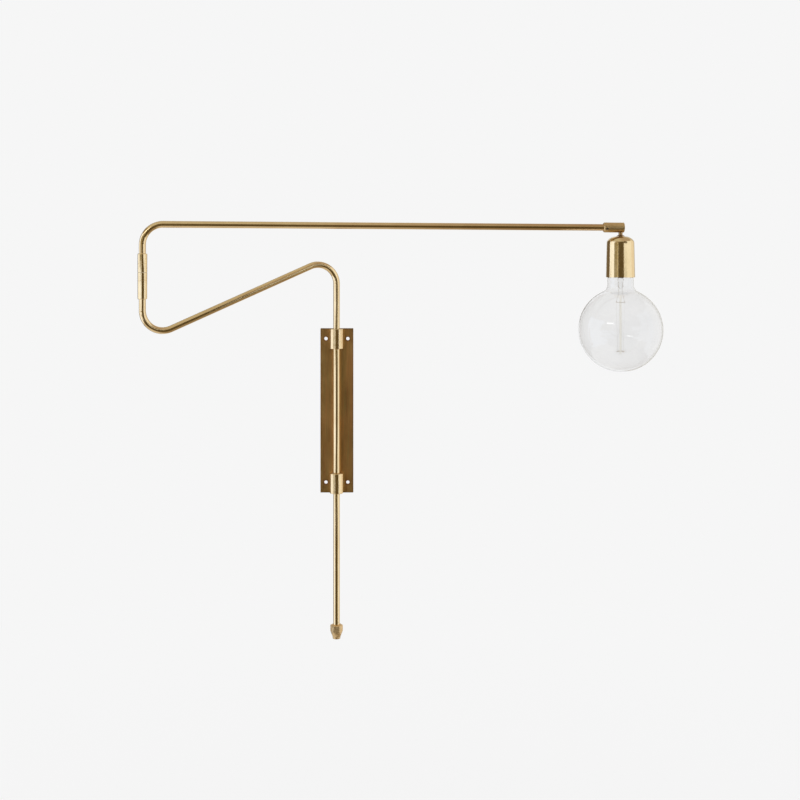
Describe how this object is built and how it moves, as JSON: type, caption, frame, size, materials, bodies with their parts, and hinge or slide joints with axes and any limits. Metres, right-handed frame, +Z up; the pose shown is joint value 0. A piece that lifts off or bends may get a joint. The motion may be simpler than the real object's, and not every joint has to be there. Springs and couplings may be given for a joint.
{
  "type": "swing arm wall lamp",
  "caption": "Brass wall lamp: a tube slides and turns in collars on a wall plate, a folding arm turns at a sleeve elbow, and a globe bulb hangs in a cup at its end.",
  "frame": {"origin": "centre of the wall plate's back face", "axes": "+Z up, +Y into the wall, +X to the right as seen from the room"},
  "size_m": [0.7751, 0.1354, 0.6422],
  "materials": {
    "aged_brass": "flat plate, darkened brass with vertical brushing",
    "turned_brass": "turned brass, satin with fine turning marks",
    "tube_brass": "drawn brass tube, semi-polished",
    "brushed_brass": "turned brass bar, matte",
    "cup_brass": "spun brass shell, satin, unlacquered",
    "steel_screws": "plain steel",
    "nylon": "natural nylon",
    "rubber": "black rubber",
    "flex_jacket": "black flex sheath",
    "core_insulation": "plain core insulation",
    "holder_insulator": "glazed white insulator",
    "contact_metal": "pressed brass strip",
    "bulb_glass": "clear blown glass",
    "stem_glass": "clear glass stem and press",
    "bulb_cap_metal": "rolled metal screw cap",
    "bulb_cap_insulation": "black glass insulator",
    "solder": "solder button",
    "support_wire": "drawn wire",
    "filament": "filament wire"
  },
  "bodies": {
    "wall_bracket": {"wall_plate": "aged_brass", "upper_collar": "turned_brass", "lower_collar": "turned_brass", "collar_screws": "steel_screws", "collar_grub_screws": "steel_screws"},
    "liners": {"upper_liner": "nylon", "lower_liner": "nylon"},
    "lower_arm": {"lower_arm_tube": "tube_brass", "gland_nut": "turned_brass", "gland_bush": "rubber", "lower_flex": "flex_jacket", "elbow_lower_sleeve": "tube_brass", "elbow_lower_ring": "tube_brass", "elbow_washer": "nylon"},
    "upper_arm": {"elbow_upper_ring": "tube_brass", "elbow_upper_sleeve": "tube_brass", "elbow_spindle": "turned_brass", "elbow_spindle_nut": "turned_brass", "elbow_spring_washer": "steel_screws", "upper_arm_tube": "tube_brass", "upper_flex": "flex_jacket"},
    "lamp_head": {"knuckle": "brushed_brass", "knuckle_grub_screw": "steel_screws", "lamp_nipple": "brushed_brass", "cup_lock_nut": "turned_brass", "socket_cup": "cup_brass", "lampholder_cap": "holder_insulator", "lampholder_body": "holder_insulator", "screw_shell": "contact_metal", "centre_contact": "contact_metal", "side_contact": "contact_metal", "terminal_screws": "steel_screws", "lamp_leads": "core_insulation"},
    "bulb": {"bulb_glass": "bulb_glass", "bulb_cap_shell": "bulb_cap_metal", "bulb_cap_insulator": "bulb_cap_insulation", "bulb_cap_contact": "solder", "bulb_stem": "stem_glass", "bulb_supports": "support_wire", "bulb_lead_wires": "support_wire", "bulb_filament": "filament"}
  },
  "joints": [
    {"name": "arm_swing", "type": "hinge", "parent": "wall_bracket", "child": "liners", "pos_m": [0, -0.013, 0], "axis": [0, 0, 1], "range_deg": [-20, 160]},
    {"name": "arm_height", "type": "slide", "parent": "liners", "child": "lower_arm", "axis": [0, 0, 1], "range_m": [-0.065, 0.2]},
    {"name": "elbow_swing", "type": "hinge", "parent": "lower_arm", "child": "upper_arm", "pos_m": [-0.27815, -0.11424, 0.2159], "axis": [0, 0, 1], "range_deg": [-170, 170]},
    {"name": "head_roll", "type": "hinge", "parent": "upper_arm", "child": "lamp_head", "pos_m": [0.42764, -0.07292, 0.28253], "axis": [0.9983, 0.0584, -0.0058], "range_deg": [-90, 90]},
    {"name": "bulb_removal", "type": "slide", "parent": "lamp_head", "child": "bulb", "axis": [0, 0, -1], "range_m": [0, 0.065]}
  ]
}
